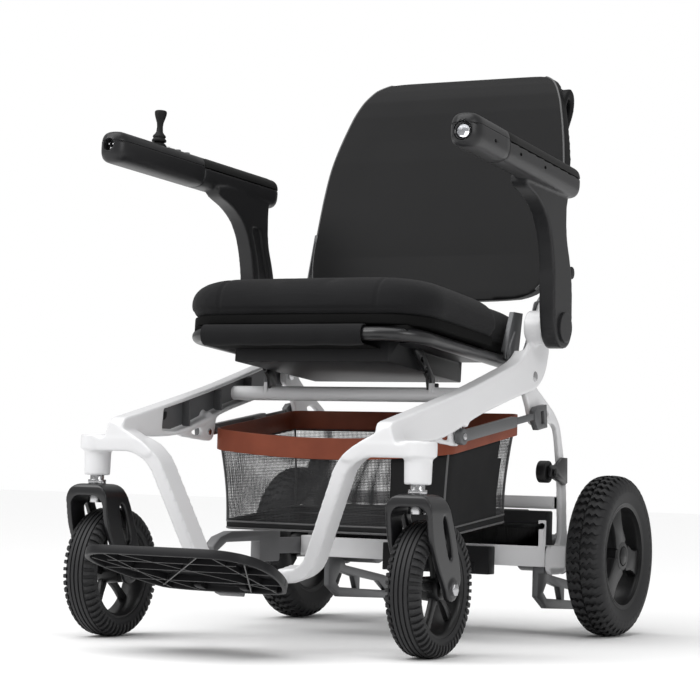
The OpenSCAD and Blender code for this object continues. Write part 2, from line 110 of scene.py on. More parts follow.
def bake(o):
    graph = bpy.context.evaluated_depsgraph_get()
    mesh = bpy.data.meshes.new_from_object(o.evaluated_get(graph), preserve_all_data_layers=True,
        depsgraph=graph)
    old = o.data
    o.modifiers.clear()
    o.data = mesh
    bpy.data.meshes.remove(old)
    return o


def prism(outline, lo, hi, along="x", name="prism"):
    order = {"x": lambda a, b, c: (c, a, b), "y": lambda a, b, c: (a, c, b), "z": lambda a, b,
        c: (a, b, c)}[along]
    n = len(outline)
    verts = [order(a, b, lo) for a, b in outline] + [order(a, b, hi) for a, b in outline]
    faces = [list(range(n)), list(range(n, 2 * n))]
    faces += [[i, (i + 1) % n, n + (i + 1) % n, n + i] for i in range(n)]
    return solid(name, verts, faces, merge=False)


def softLoop(points, rounds=2, cut=0.2):
    for _ in range(rounds):
        nextPoints = []
        for i, p in enumerate(points):
            q = points[(i + 1) % len(points)]
            nextPoints.append((p[0] + (q[0] - p[0]) * cut, p[1] + (q[1] - p[1]) * cut))
            nextPoints.append((q[0] - (q[0] - p[0]) * cut, q[1] - (q[1] - p[1]) * cut))
        points = nextPoints
    return points


def arc(u, v, r, a0, a1, n):
    step = radians(a1 - a0) / n
    return [(u + r * cos(radians(a0) + step * i), v + r * sin(radians(a0) + step * i))
        for i in range(n + 1)]


def circle(u, v, r, n):
    return arc(u, v, r, 0, 360 - 360 / n, n - 1)


def gridFaces(rings, n, wrap=False):
    # quads between rings of n points; wrap joins the last ring to the first
    faces = []
    for i in range(rings if wrap else rings - 1):
        a, b = i * n, (i + 1) % rings * n
        faces += [[a + k, a + (k + 1) % n, b + (k + 1) % n, b + k] for k in range(n)]
    return faces


def lathe(profile, centre, steps=96, axis="x"):
    # profile is (along, radius); it turns about the x or z axis through centre
    verts = []
    for k in range(steps):
        t = 2 * pi * k / steps
        for along, r in profile:
            if axis == "x":
                verts.append((centre[0] + along, centre[1] + r * cos(t), centre[2] + r * sin(t)))
            else:
                verts.append((centre[0] + r * cos(t), centre[1] + r * sin(t), centre[2] + along))
    return solid("lathe", verts, gridFaces(steps, len(profile), True))


def box(lo, hi, name="block"):
    return prism([(lo[0], lo[1]), (hi[0], lo[1]), (hi[0], hi[1]), (lo[0], hi[1])], lo[2], hi[2], "z", name)


def rodX(x0, x1, r, y, z, steps=48):
    return prism(circle(y, z, r, steps), x0, x1)


def shift(o, matrix):
    o.data.transform(matrix)
    if matrix.determinant() < 0:
        o.data.flip_normals()
    return o


def joined(name, parts):
    bm = bmesh.new()
    materials = []
    for p in parts:
        start = len(bm.faces)
        bm.from_mesh(p.data)
        bm.faces.ensure_lookup_table()
        for f in bm.faces[start:]:
            if p.data.materials:
                m = p.data.materials[min(f.material_index, len(p.data.materials) - 1)]
                if m not in materials:
                    materials.append(m)
                f.material_index = materials.index(m)
    mesh = bpy.data.meshes.new(name)
    bm.to_mesh(mesh)
    bm.free()
    for m in materials:
        mesh.materials.append(m)
    for p in parts:
        bpy.data.objects.remove(p)
    return newObject(name, mesh)


def cutAway(o, cutters):
    for c in cutters:
        modify(o, "BOOLEAN", operation="DIFFERENCE", solver="EXACT", object=c)
    bake(o)
    for c in cutters:
        bpy.data.objects.remove(c)
    return o


def keepInside(o, other):
    modify(o, "BOOLEAN", operation="INTERSECT", solver="EXACT", object=other)
    bake(o)
    bpy.data.objects.remove(other)
    return o


def cast(name, parts, voxel=2.2, rounds=8, factor=0.5):
    # joins overlapping solids into one casting with soft edges
    o = joined(name, parts)
    modify(o, "REMESH", mode="VOXEL", voxel_size=voxel * 0.001)
    modify(o, "SMOOTH", iterations=rounds, factor=factor)
    return smoothFaces(bake(o))


def crisp(o, degrees=35):
    # smooth shading with sharp edges kept where the surface turns
    bm = bmesh.new()
    bm.from_mesh(o.data)
    limit = radians(degrees)
    for f in bm.faces:
        f.smooth = True
    for e in bm.edges:
        if len(e.link_faces) == 2:
            e.smooth = e.calc_face_angle(0) < limit
    bm.to_mesh(o.data)
    bm.free()
    return o


def bevelled(o, width=1.0, segments=2, degrees=30):
    modify(o, "BEVEL", width=width * 0.001, segments=segments, limit_method="ANGLE",
        angle_limit=radians(degrees), use_clamp_overlap=False, harden_normals=False)
    bake(o)
    return crisp(o, 40)


def softCopy(node, name, width=0.8, segments=2):
    # a bevelled copy of a CAD node
    src = frame["nodes"][node]
    o = newObject(name, src.data.copy())
    o.data.materials.clear()
    bm = bmesh.new()
    bm.from_mesh(o.data)
    bmesh.ops.remove_doubles(bm, verts=bm.verts, dist=2e-6)
    bmesh.ops.dissolve_degenerate(bm, edges=bm.edges, dist=1e-6)
    bmesh.ops.dissolve_limit(bm, angle_limit=radians(2), verts=bm.verts, edges=bm.edges)
    bm.to_mesh(o.data)
    bm.free()
    return bevelled(o, width, segments, 35)


def tube(path, r, name, closed=False, sides=8):
    verts = []
    n = len(path)
    pts = [Vector(p) for p in path]
    side = Vector((0, 0, 1))
    for i, p in enumerate(pts):
        a = pts[i - 1] if (i or closed) else p
        b = pts[(i + 1) % n] if (i < n - 1 or closed) else p
        d = (b - a).normalized()
        u = d.cross(side)
        u = u.normalized() if u.length > 1e-3 else Vector((1, 0, 0))
        w = d.cross(u).normalized()
        for k in range(sides):
            t = 2 * pi * k / sides
            verts.append(tuple(p + u * (r * cos(t)) + w * (r * sin(t))))
    faces = gridFaces(n, sides, closed)
    if not closed:
        faces += [list(range(sides)), [(n - 1) * sides + k for k in range(sides)]]
    return crisp(solid(name, verts, faces), 60)


def mirrorOf(o, name):
    m = newObject(name, o.data.copy())
    return shift(m, Matrix.Scale(-1, 4, (1, 0, 0)))


def paint(o, look):
    o.data.materials.append(made[look])
    return o


def place(o, look, body, nodes=()):
    if look:
        o.data.materials.clear()
        paint(o, look)
    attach(o, body)
    if nodes:
        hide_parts(*nodes)
    return o


def placePair(left, look, body, nodes):
    # the left piece and its mirror image
    right = mirrorOf(left, left.name.replace("Left", "Right"))
    place(left, look, body, nodes)
    place(right, look, body.replace("left", "right"), [n.replace("left", "right") for n in nodes])


# shader groups


def groupSockets(tree, inputs, outputs):
    for kind, name, value in inputs:
        s = tree.interface.new_socket(name, in_out="INPUT", socket_type="NodeSocket" + kind)
        if value is not None:
            s.default_value = value
    for kind, name in outputs:
        tree.interface.new_socket(name, in_out="OUTPUT", socket_type="NodeSocket" + kind)
    return tree.nodes.new("NodeGroupInput"), tree.nodes.new("NodeGroupOutput")


def mathNode(tree, operation, a, b=None):
    n = tree.nodes.new("ShaderNodeMath")
    n.operation = operation
    for i, v in enumerate((a, b)):
        if v is None:
            continue
        if isinstance(v, (int, float)):
            n.inputs[i].default_value = v
        else:
            tree.links.new(v, n.inputs[i])
    return n.outputs[0]


def makeGrainGroup():
    t = bpy.data.node_groups.new("mouldedGrain", "ShaderNodeTree")
    gi, go = groupSockets(t, [("Vector", "Vector", None), ("Float", "Scale", 400.0),
        ("Float", "Broad Scale", 9.0)], [("Float", "Fine"), ("Float", "Broad")])
    for output, scale, detail in (("Fine", "Scale", 3), ("Broad", "Broad Scale", 2)):
        cloud = t.nodes.new("ShaderNodeTexNoise")
        cloud.inputs["Detail"].default_value = detail
        t.links.new(gi.outputs["Vector"], cloud.inputs["Vector"])
        t.links.new(gi.outputs[scale], cloud.inputs["Scale"])
        t.links.new(cloud.outputs["Fac"], go.inputs[output])
    return t


def makeWeaveGroup():
    t = bpy.data.node_groups.new("clothWeave", "ShaderNodeTree")
    link = t.links.new
    gi, go = groupSockets(t, [("Vector", "Vector", None), ("Float", "Scale", 500.0),
        ("Float", "Warp", 0.6)], [("Float", "Height")])
    waves = []
    for direction in ("X", "Y", "Z"):
        w = t.nodes.new("ShaderNodeTexWave")
        w.bands_direction = direction
        w.inputs["Detail"].default_value = 1
        link(gi.outputs["Vector"], w.inputs["Vector"])
        link(gi.outputs["Scale"], w.inputs["Scale"])
        link(gi.outputs["Warp"], w.inputs["Distortion"])
        waves.append(w.outputs["Fac"])
    top = mathNode(t, "MAXIMUM", mathNode(t, "MULTIPLY", waves[0], waves[1]),
        mathNode(t, "MULTIPLY", waves[1], waves[2]))
    top = mathNode(t, "MAXIMUM", top, mathNode(t, "MULTIPLY", waves[0], waves[2]))
    link(top, go.inputs["Height"])
    return t


def makeNetGroup():
    t = bpy.data.node_groups.new("knottedNet", "ShaderNodeTree")
    link = t.links.new
    gi, go = groupSockets(t, [("Vector", "Vector", None), ("Float", "Scale", 135.0),
        ("Float", "Cover", 0.4)], [("Float", "Mask"), ("Float", "Height")])
    waves = []
    for direction in ("X", "Y"):
        w = t.nodes.new("ShaderNodeTexWave")
        w.bands_direction = direction
        link(gi.outputs["Vector"], w.inputs["Vector"])
        link(gi.outputs["Scale"], w.inputs["Scale"])
        waves.append(w.outputs["Fac"])
    top = mathNode(t, "MAXIMUM", waves[0], waves[1])
    edge = mathNode(t, "SUBTRACT", 1.0, gi.outputs["Cover"])
    link(mathNode(t, "GREATER_THAN", top, edge), go.inputs["Mask"])
    link(top, go.inputs["Height"])
    return t


grainGroup = makeGrainGroup()
netGroup = makeNetGroup()
weaveGroup = makeWeaveGroup()


def finish(name, look):
    # look: base and tone colours, rough and roughSpread, grain scale, bump, metal, coat, sheen, weave
    m = bpy.data.materials.new(name)
    m.use_nodes = True
    t = m.node_tree
    link = t.links.new
    new = t.nodes.new
    shader = t.nodes["Principled BSDF"]
    coords = new("ShaderNodeTexCoord")
    grain = new("ShaderNodeGroup")
    grain.node_tree = grainGroup
    grain.inputs["Scale"].default_value = look.get("grain", 600.0)
    grain.inputs["Broad Scale"].default_value = look.get("broad", 9.0)
    link(coords.outputs["Object"], grain.inputs["Vector"])
    mix = new("ShaderNodeMix")
    mix.data_type = "RGBA"
    mix.inputs["A"].default_value = (*look["base"], 1)
    mix.inputs["B"].default_value = (*look.get("tone", look["base"]), 1)
    link(grain.outputs["Broad"], mix.inputs["Factor"])
    link(mix.outputs["Result"], shader.inputs["Base Color"])
    spread = new("ShaderNodeMapRange")
    spread.inputs["To Min"].default_value = look["rough"] - look.get("roughSpread", 0.05)
    spread.inputs["To Max"].default_value = look["rough"] + look.get("roughSpread", 0.05)
    link(grain.outputs["Fine"], spread.inputs["Value"])
    link(spread.outputs["Result"], shader.inputs["Roughness"])
    bump = new("ShaderNodeBump")
    bump.inputs["Strength"].default_value = look.get("bump", 0.1)
    bump.inputs["Distance"].default_value = look.get("depth", 0.0003)
    height = grain.outputs["Fine"]
    if "weave" in look:
        weave = new("ShaderNodeGroup")
        weave.node_tree = weaveGroup
        weave.inputs["Scale"].default_value = look["weave"]
        weave.inputs["Warp"].default_value = look.get("warp", 0.6)
        link(coords.outputs["Object"], weave.inputs["Vector"])
        height = weave.outputs["Height"]
    if "net" in look:
        net = new("ShaderNodeGroup")
        net.node_tree = netGroup
        net.inputs["Scale"].default_value = look["net"]
        link(coords.outputs["UV"], net.inputs["Vector"])
        cover = new("ShaderNodeMapRange")
        cover.inputs["From Min"].default_value = 0.3
        cover.inputs["From Max"].default_value = 0.7
        cover.inputs["To Min"].default_value, cover.inputs["To Max"].default_value = look["cover"]
        link(grain.outputs["Broad"], cover.inputs["Value"])
        link(cover.outputs["Result"], net.inputs["Cover"])
        link(net.outputs["Mask"], shader.inputs["Alpha"])
        height = net.outputs["Height"]
    link(height, bump.inputs["Height"])
    link(bump.outputs["Normal"], shader.inputs["Normal"])
    for socket, key, usual in (("Metallic", "metal", 0.0), ("Coat Weight", "coat", 0.0),
            ("Coat Roughness", "coatRough", 0.1), ("Sheen Weight", "sheen", 0.0),
            ("Specular IOR Level", "specular", 0.5)):
        shader.inputs[socket].default_value = look.get(key, usual)
    if look.get("glass"):
        shader.inputs["Transmission Weight"].default_value = 1.0
        shader.inputs["IOR"].default_value = 1.45
    return m


def lookOf(base, tone, rough, grain, bump, **more):
    return {"base": base, "tone": tone, "rough": rough, "grain": grain, "bump": bump, **more}


looks = {
    "whitePaint": lookOf((0.74, 0.74, 0.75), (0.7, 0.7, 0.71), 0.34, 900, 0.05, coat=0.25, coatRough=0.2),
    "blackTube": lookOf((0.008, 0.008, 0.009), (0.013, 0.013, 0.014), 0.3, 1200, 0.08, specular=0.5),
    "blackPlastic": lookOf((0.009, 0.009, 0.01), (0.014, 0.014, 0.015), 0.42, 1500, 0.15, specular=0.2),
    "armPlastic": lookOf((0.014, 0.014, 0.015), (0.019, 0.019, 0.02), 0.36, 1800, 0.12, specular=0.3),
    "softPad": lookOf((0.009, 0.009, 0.009), (0.014, 0.014, 0.014), 0.55, 1400, 0.25, specular=0.18),
    "knit": lookOf((0.009, 0.009, 0.0095), (0.014, 0.014, 0.015), 0.88, 700, 0.4, weave=170, sheen=0.06,
        depth=0.0005, specular=0.1),
    "underCloth": lookOf((0.003, 0.003, 0.003), (0.006, 0.006, 0.006), 0.85, 700, 0.3, weave=240,
        depth=0.0004, specular=0.1),
    "backSkin": lookOf((0.004, 0.004, 0.0045), (0.007, 0.007, 0.0075), 0.55, 1500, 0.14, specular=0.16),
    "piping": lookOf((0.07, 0.07, 0.072), (0.1, 0.1, 0.1), 0.45, 1500, 0.2),
    "steel": lookOf((0.6, 0.6, 0.61), (0.42, 0.42, 0.43), 0.24, 900, 0.05, metal=1.0),
    "greyMetal": lookOf((0.1, 0.102, 0.106), (0.14, 0.142, 0.146), 0.4, 1100, 0.1, metal=0.5),
    # dark grey painted shade for the inside of the white beam channels
    "channel": lookOf((0.1, 0.102, 0.106), (0.17, 0.172, 0.178), 0.4, 1100, 0.1, metal=0.4),
    "silverEdge": lookOf((0.5, 0.5, 0.51), (0.42, 0.42, 0.43), 0.32, 1100, 0.06, metal=0.7),
    "greyPlastic": lookOf((0.13, 0.13, 0.135), (0.17, 0.17, 0.175), 0.45, 1300, 0.12),
    "leather": lookOf((0.17, 0.034, 0.015), (0.28, 0.07, 0.032), 0.5, 350, 0.35, broad=25, depth=0.0006,
        specular=0.3),
    "meshCloth": lookOf((0.02, 0.02, 0.021), (0.05, 0.05, 0.052), 0.7, 900, 0.3, broad=18, net=135,
        cover=(0.06, 0.24)),
    "bagPanel": lookOf((0.008, 0.008, 0.0085), (0.016, 0.016, 0.0165), 0.8, 900, 0.3, weave=260,
        specular=0.2),
    "tyreRubber": lookOf((0.011, 0.011, 0.012), (0.02, 0.02, 0.021), 0.6, 700, 0.3, specular=0.35),
    "wheelPlastic": lookOf((0.006, 0.006, 0.0065), (0.01, 0.01, 0.0105), 0.38, 1200, 0.1, specular=0.35),
    # lighter grey for the black rib edges of the footplate: a painted highlight
    "ribEdgeHighlight": lookOf((0.035, 0.035, 0.036), (0.06, 0.06, 0.06), 0.4, 800, 0.05),
    "lensGlass": lookOf((0.95, 0.96, 0.97), (0.95, 0.96, 0.97), 0.05, 300, 0.02, roughSpread=0.01,
        glass=True),
    "reflector": lookOf((0.85, 0.85, 0.87), (0.6, 0.6, 0.62), 0.15, 300, 0.3, broad=300, metal=1.0),
}
made = {key: finish(key, value) for key, value in looks.items()}
print("materials made")

# geometry node trees


def ringTree():
    t = bpy.data.node_groups.new("ringOfCopies", "GeometryNodeTree")
    link = t.links.new
    new = t.nodes.new
    gi, go = groupSockets(t, [("Geometry", "Piece", None), ("Int", "Count", 12),
        ("Float", "Start Angle", 0.0), ("Vector", "Centre", None), ("Material", "Finish", None)],
        [("Geometry", "Geometry")])
    points = new("GeometryNodePoints")
    copies = new("GeometryNodeInstanceOnPoints")
    index = new("GeometryNodeInputIndex")
    turn = new("ShaderNodeCombineXYZ")
    real = new("GeometryNodeRealizeInstances")
    paint = new("GeometryNodeSetMaterial")
    angle = mathNode(t, "ADD", mathNode(t, "MULTIPLY", index.outputs[0],
        mathNode(t, "DIVIDE", 2 * pi, gi.outputs["Count"])), gi.outputs["Start Angle"])
    link(gi.outputs["Count"], points.inputs["Count"])
    link(gi.outputs["Centre"], points.inputs["Position"])
    link(points.outputs[0], copies.inputs["Points"])
    link(gi.outputs["Piece"], copies.inputs["Instance"])
    link(angle, turn.inputs["X"])
    link(turn.outputs[0], copies.inputs["Rotation"])
    link(copies.outputs[0], real.inputs[0])
    link(real.outputs[0], paint.inputs["Geometry"])
    link(gi.outputs["Finish"], paint.inputs["Material"])
    link(paint.outputs[0], go.inputs[0])
    return t


ringNodes = ringTree()


def ringOf(o, count, start, centre, look):
    # copies of one mesh turned about the x axis through centre
    values = {"Count": count, "Start Angle": start, "Centre": [c * 0.001 for c in centre],
        "Finish": made[look]}
    m = o.modifiers.new("ring", "NODES")
    m.node_group = ringNodes
    for item in ringNodes.interface.items_tree:
        if item.item_type == "SOCKET" and item.in_out == "INPUT" and item.name in values:
            m[item.identifier] = values[item.name]
    return bake(o)


# stage
stageShape = {"ambient": 0.42, "backdrop": 1.0, "sun": 2.15, "lamps": (("keyLight", (-1.6, -2.2, 2.2), 1.6,
    34), ("sideLight", (2.6, -1.2, 1.6), 1.2, 20))}


def makeStage():
    st = stageShape
    floor = solid("floor", [(-12000, -12000, 0), (12000, -12000, 0), (12000, 12000, 0), (-12000, 12000, 0)],
        [[0, 1, 2, 3]])
    m = bpy.data.materials.new("paleFloor")
    m.use_nodes = True
    m.node_tree.nodes["Principled BSDF"].inputs["Base Color"].default_value = (0.93, 0.93, 0.93, 1)
    m.node_tree.nodes["Principled BSDF"].inputs["Roughness"].default_value = 0.7
    floor.data.materials.append(m)
    world = bpy.data.worlds.new("studio")
    world.use_nodes = True
    t = world.node_tree
    link = t.links.new
    new = t.nodes.new
    around = t.nodes["Background"]
    around.inputs["Color"].default_value = (1, 1, 1, 1)
    around.inputs["Strength"].default_value = st["ambient"]
    seen = new("ShaderNodeBackground")
    seen.inputs["Color"].default_value = (1, 1, 1, 1)
    seen.inputs["Strength"].default_value = st["backdrop"]
    path = new("ShaderNodeLightPath")
    mix = new("ShaderNodeMixShader")
    link(path.outputs["Is Camera Ray"], mix.inputs[0])
    link(around.outputs[0], mix.inputs[1])
    link(seen.outputs[0], mix.inputs[2])
    link(mix.outputs[0], t.nodes["World Output"].inputs["Surface"])
    scene = bpy.context.scene
    scene.world = world
    scene.view_settings.view_transform = "Standard"
    data = bpy.data.lights.new("topSun", "SUN")
    data.energy = st["sun"]
    data.angle = radians(70)
    lamp = bpy.data.objects.new("topSun", data)
    lamp.rotation_euler = (radians(14), radians(-10), 0)
    scene.collection.objects.link(lamp)
    for name, at, size, power in st["lamps"]:
        data = bpy.data.lights.new(name, "AREA")
        data.size = size
        data.energy = power
        lamp = bpy.data.objects.new(name, data)
        scene.collection.objects.link(lamp)
        aim = Vector((0, 0, 0.4)) - Vector(at)
        lamp.matrix_world = Matrix.Translation(at) @ aim.to_track_quat("-Z", "Y").to_matrix().to_4x4()


makeStage()

# white frame
armPivot = (145, 477)
frameShape = {
    "webInside": 219, "inside": 203, "outside": 228, "voxel": 2.2,
    "beam": [(-331, 293), (-331, 317), (-300, 323.5), (-177, 351), (-78, 374), (47, 408), (98, 423),
        (122, 440), (140, 464), (158, 498), (172, 518), (190, 525), (203, 516), (207, 496), (206, 445),
        (190, 404), (156, 381), (100, 371), (28, 354), (-42, 337), (-92, 321), (-141, 306), (-183, 296),
        (-240, 292)],
    "pocket": [(-226, 303), (-222, 334), (-177, 344), (-78, 368), (47, 401), (96, 416), (116, 432),
        (134, 458), (150, 495), (152, 540), (215, 540), (215, 430), (190, 390), (150, 365), (100, 350),
        (100, 378), (28, 360.5), (-42, 343.5), (-92, 328.5), (-141, 312.5), (-183, 302.5)],
    "groove": [(-296, 314), (-177, 343), (-78, 366), (47, 400), (100, 416), (120, 433), (116, 436),
        (98, 421), (47, 404.5), (-78, 370.5), (-177, 347.5), (-296, 318.5)],
    "link": [(-175, 300), (-173, 295), (-104, 290), (-82, 290), (-74, 300), (-68, 332), (-100, 324),
        (-141, 311)],
    "linkHole": [(-150, 301), (-112, 297), (-112, 311), (-130, 306)],
    "web": [(240, 284), (232, 296), (228, 312), (222, 314), (205, 303), (188, 295), (166, 282), (150, 268),
        (165, 262), (190, 280)],
}


def makeSideFrame():
    f = frameShape
    beam = prism(softLoop(f["beam"], 2, 0.22), f["inside"], f["outside"])
    pocket = prism(f["pocket"], 195, f["webInside"])
    groove = prism(f["groove"], 226.6, 240)
    cutAway(beam, [pocket, groove])
    link = prism(softLoop(f["link"], 1, 0.15), 206, 212)
    cutAway(link, [prism(softLoop(f["linkHole"], 1, 0.2), 200, 220)])
    knuckle = rodX(206, 227, 9, -90, 326)
    armBoss = rodX(219, 249.5, 26, *armPivot)
    leg = prism([(259, 292)] + arc(201, 222, 70, 90, 157.4, 24) + arc(60, 143, 30, -22.6, -90, 16)
        + [(46, 113), (46, 93)] + arc(60, 143, 50, -90, -22.6, 16) + arc(201, 222, 50, 157.4, 90, 24)
        + [(259, 272)], -19, 19, "y")
    shift(leg, Matrix.Translation((0, -0.314, 0.282)) @ Matrix.Rotation(radians(8.5), 4, "X")
        @ Matrix.Translation((0, 0, -0.282)))
    web = prism(softLoop(f["web"], 1, 0.2), -333, -296, "y")
    head = prism(circle(259.4, -309.5, 25.5, 24), 271, 293, "z")
    tube = lathe([(234, 14), (234, 18.5), (271.5, 19.5), (271.5, 14)], (259.4, -309.5, 0), 48, "z")
    lug = prism(softLoop([(-296, 94), (-322, 86), (-333, 97), (-322, 108), (-296, 112)], 1, 0.2), 44, 58)
    left = cast("sideFrameLeft", [beam, link, knuckle, armBoss, leg, web, head, tube, lug], f["voxel"], 6,
        0.5)
    placePair(left, "whitePaint", "chassis", ["side_frame_left", "front_leg_left"])


channelShape = {
    "face": [(-232, 302), (-228, 334), (-177, 346), (-78, 368), (47, 401), (96, 416), (116, 432),
        (134, 458), (150, 495), (160, 517), (172, 520), (190, 521), (200, 512), (203, 494), (202, 446),
        (187, 407), (154, 385), (100, 376), (28, 360), (-42, 343), (-92, 328), (-141, 312), (-183, 302)],
    "ribs": ((-150, 311, 350), (-60, 337, 369), (30, 359, 393)),
    "slot": [(-214, 316), (-196, 320), (-193, 332), (-211, 328)],
}


def makeChannels():
    # dark grey liner on the inner faces of the white beams, as painted shade inside the channel, with ribs between the
    # flanges and a black slot
    # the liner's dark grey is painted shade where the white channel lies in shadow
    shadeLiner = prism(softLoop(channelShape["face"], 1, 0.15), 218.2, 219.6)
    paint(shadeLiner, "channel")
    parts = [shadeLiner]
    for y, low, high in channelShape["ribs"]:
        rib = bevelled(box((205, y, low), (218.6, y + 3, high)), 0.5)
        paint(rib, "greyMetal")
        parts.append(rib)
    slot = bevelled(prism(softLoop(channelShape["slot"], 1, 0.2), 216.4, 218.4), 0.5)
    paint(slot, "blackPlastic")
    parts.append(slot)
    left = joined("channelLeft", parts)
    placePair(left, None, "chassis", ())


makeSideFrame()
makeChannels()
print("side frames made")

# rear frame


uprightShape = {
    "plate": [(133, 388), (134, 410), (146, 420), (158, 418), (191, 389), (235, 368), (268, 351),
        (292, 331), (307, 290), (322, 245), (330, 155), (354, 142), (361, 127), (354, 110), (320, 95),
        (262, 95), (262, 141), (299, 141), (306, 155), (300, 245), (281, 322), (262, 334), (214, 330),
        (192, 327), (177, 334), (170, 352), (148, 382)],
    "window": [(205, 352), (228, 356), (254, 345), (222, 341)],
}


def makeUprights():
    plate = prism(softLoop(uprightShape["plate"], 2, 0.18), 202.6, 212)
    window = prism(softLoop(uprightShape["window"], 1, 0.2), 190, 220)
    cutAway(plate, [window, rodX(190, 230, 12, 340, 127)])
    parts = [plate, rodX(202.6, 214, 17, 150, 402), rodX(202.6, 213.5, 16, 192, 345),
        box((211, 262, 107), (238, 300, 141))]
    left = cast("uprightLeft", parts, 1.9, 5, 0.5)
    placePair(left, "whitePaint", "rear_frame", ["upright_left"])


makeUprights()
softNodes = [
    ("rear_crossbeams", "whitePaint", 1.5), ("front_crossbar", "whitePaint", 1.0), ("seat_tube",
        "blackTube", 0.5), ("seat_pan", "blackPlastic", 2.0), ("seat_links", "blackTube",
        0.7), ("head_bearings", "steel", 0.4), ("back_brackets", "greyMetal", 0.8), ("brace_rails",
        "greyMetal", 0.9), ("frame_pins", "steel", 0.8), ("brace_slides", "greyMetal",
        0.6), ("battery_pack", "blackPlastic", 3.0), ("controller_box", "blackPlastic", 1.5), ("motor_left",
        "greyMetal", 1.5), ("motor_right", "greyMetal", 1.5), ("motor_lever_left", "greyPlastic",
        1.2), ("motor_lever_right", "greyPlastic", 1.2), ("anti_tip_arms", "greyMetal",
        1.2), ("anti_tip_wheel_left", "wheelPlastic", 2.0), ("anti_tip_wheel_right", "wheelPlastic",
        2.0), ("roller_arms", "blackTube", 0.8), ("roller_left", "wheelPlastic", 1.5), ("roller_right",
        "wheelPlastic", 1.5), ("carry_handle", "greyPlastic", 2.5), ("caster_stem_left", "steel",
        0.5), ("caster_stem_right", "steel", 0.5), ("back_straps", "greyMetal", 0.7), ("back_knob",
        "blackPlastic", 1.5), ("joystick_gimbal", "steel", 0.3), ("power_button", "greyPlastic",
        0.6), ("speed_button", "greyPlastic", 0.6)
]
bodyOf = {n: b for b, ns in frame["record"]["behaviour"]["bodies"].items() for n in ns}
for node, lookName, width in softNodes:
    words = node.split("_")
    name = words[0] + "".join(w.title() for w in words[1:])
    place(softCopy(node, name, width), lookName, bodyOf[node], [node])
print("hardware made")

# wheels
rearWheel = {
    "name": "rear", "steps": 120, "lugWidth": 0.07, "centre": (281.5, 340, 127), "lugs": 50, "spokes": 3,
    "half": [(6, 121.6), (18, 120.4), (25, 117.5), (29, 112.5), (30.2, 106), (29.5, 98), (27, 90),
        (25, 84)],
    "tread": [(1.0, 127, 119, 0.0), (6, 126.8, 119, 0.036), (11, 126.3, 118.6, 0.0),
        (16, 125.4, 118, 0.036), (21, 123.2, 116, 0.004), (25.5, 119, 112, 0.022), (29, 112.5, 106, 0.022),
        (30.3, 107, 102, 0.022)],
}
casterWheel = {
    "name": "caster", "steps": 108, "lugWidth": 0.064, "centre": (259.4, -266.3,
        94), "lugs": 54, "spokes": 5,
    "half": [(0.8, 91.6), (1.3, 94), (5.6, 93.8), (6.1, 91.3), (7.5, 91.3), (8.0, 93.5), (12.2, 92.9),
        (12.7, 90.4), (14.0, 90.4), (14.6, 89.6), (18.5, 87.2), (21.5, 83), (23.2, 78), (23, 72), (21, 67)],
    "tread": [(14.8, 92.9, 86, 0), (19, 91.6, 84, 0), (22.6, 88.4, 80, 0), (24.9, 82.5, 76, 0),
        (25, 78.5, 74, 0)],
}


def ribBlock(stations, width):
    # a tread block: stations are (x, top radius, base radius, turn in radians)
    verts, faces = [], []
    for x, top, base, turn in stations:
        for r in (base, top):
            for side in (-1, 1):
                t = turn + side * width / 2 * (1.0 if r == base else 0.8)
                verts.append((x, r * sin(t), r * cos(t)))
    for i in range(len(stations) - 1):
        a, b = i * 4, i * 4 + 4
        faces += [[a, a + 1, b + 1, b], [a + 2, b + 2, b + 3, a + 3], [a, b, b + 2, a + 2],
            [a + 1, a + 3, b + 3, b + 1]]
    e = (len(stations) - 1) * 4
    faces += [[0, 2, 3, 1], [e, e + 1, e + 3, e + 2]]
    return solid("block", verts, faces, merge=False)


def makeTyre(w):
    # the tread blocks of the two shoulders are half a step apart
    carcass = lathe([(-x, r) for x, r in reversed(w["half"])] + w["half"], w["centre"], w["steps"])
    outer = ringOf(ribBlock(w["tread"], w["lugWidth"]), w["lugs"], 0.0, w["centre"], "tyreRubber")
    mirrored = ribBlock([(-x, *rest) for x, *rest in w["tread"]], w["lugWidth"])
    inner = ringOf(mirrored, w["lugs"], pi / w["lugs"], w["centre"], "tyreRubber")
    left = crisp(joined(w["name"] + "TyreLeft", [carcass, outer, inner]), 32)
    placePair(left, "tyreRubber", w["name"] + "_wheel_left", [w["name"] + "_tyre_left"])


def spoke(r0, r1, w0, w1, x0, x1, dish):
    # one arm of a wheel, along z, wider at the hub, leaning inward by dish
    o = prism(softLoop([(-w0, r0), (w0, r0), (w1, (r0 + r1) / 2), (w1 * 1.5, r1), (-w1 * 1.5, r1),
        (-w1, (r0 + r1) / 2)], 1, 0.2), x0, x1)
    for v in o.data.vertices:
        k = (v.co.z * 1000 - r0) / (r1 - r0)
        v.co.x += dish * 0.001 * (1 - min(max(k, 0), 1))
    return bevelled(o, 1.6, 2, 30)


